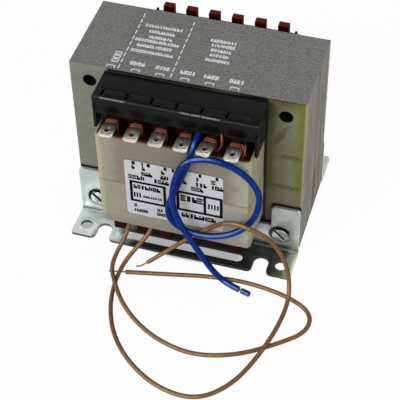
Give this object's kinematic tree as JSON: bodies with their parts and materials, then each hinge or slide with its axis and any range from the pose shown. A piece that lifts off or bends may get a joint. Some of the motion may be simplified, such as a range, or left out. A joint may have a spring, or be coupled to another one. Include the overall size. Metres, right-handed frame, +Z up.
{
  "type": "laminated chassis transformer",
  "caption": "Open-frame transformer: laminated core, wrapped coil, slotted feet, push-on tabs under a black cover, and loose blue and brown leads.",
  "frame": {"origin": "on the mounting plane under the feet, at the centre of the four foot holes", "axes": "+X along the core's long side, to the right when facing the terminals; -Y towards the terminals; +Z up from the feet"},
  "size_m": [0.1204, 0.1611, 0.0895],
  "materials": {
    "core_steel": "matt grey steel with a thin varnish, stained yellow-green on one side",
    "former_plastic": "red-brown moulded nylon",
    "winding_copper": "enamelled copper",
    "insulation_film": "thin film",
    "wrap_tape": "ivory tape under varnish",
    "label_paper": "white printed film",
    "cover_plastic": "satin black",
    "tinned_brass": "bright tin",
    "zinc_plated_steel": "blue-white zinc",
    "blue_insulation": "PVC",
    "brown_insulation": "PVC",
    "strand_copper": "bare copper strands"
  },
  "bodies": {
    "root": {"blue_lead": "blue_insulation", "blue_lead_slug": "blue_insulation", "blue_lead_strands": "strand_copper", "brown_lead_1": "brown_insulation", "brown_lead_1_strands": "strand_copper", "brown_lead_2": "brown_insulation", "brown_lead_2_strands": "strand_copper", "clamp_nut_1": "zinc_plated_steel", "clamp_nut_2": "zinc_plated_steel", "clamp_screw_1": "zinc_plated_steel", "clamp_screw_2": "zinc_plated_steel", "clamp_washer_1": "zinc_plated_steel", "clamp_washer_2": "zinc_plated_steel", "coil_former": "former_plastic", "e_lamination_packet_1": "core_steel", "e_lamination_packet_2": "core_steel", "e_lamination_packet_3": "core_steel", "e_lamination_packet_4": "core_steel", "e_lamination_packet_5": "core_steel", "e_lamination_packet_6": "core_steel", "e_lamination_packet_7": "core_steel", "e_lamination_packet_8": "core_steel", "front_bracket": "zinc_plated_steel", "i_lamination_packet_1": "core_steel", "i_lamination_packet_2": "core_steel", "i_lamination_packet_3": "core_steel", "i_lamination_packet_4": "core_steel", "i_lamination_packet_5": "core_steel", "i_lamination_packet_6": "core_steel", "i_lamination_packet_7": "core_steel", "i_lamination_packet_8": "core_steel", "lead_out_wire_1": "winding_copper", "lead_out_wire_2": "winding_copper", "lead_out_wire_3": "winding_copper", "lead_out_wire_4": "winding_copper", "lead_out_wire_5": "winding_copper", "lead_out_wire_6": "winding_copper", "outer_wrap": "wrap_tape", "primary_winding": "winding_copper", "rating_label": "label_paper", "rear_bracket": "zinc_plated_steel", "secondary_winding": "winding_copper", "terminal_cover": "cover_plastic", "terminal_tab_1": "tinned_brass", "terminal_tab_2": "tinned_brass", "terminal_tab_3": "tinned_brass", "terminal_tab_4": "tinned_brass", "terminal_tab_5": "tinned_brass", "terminal_tab_6": "tinned_brass", "winding_insulation": "insulation_film"}
  },
  "joints": []
}
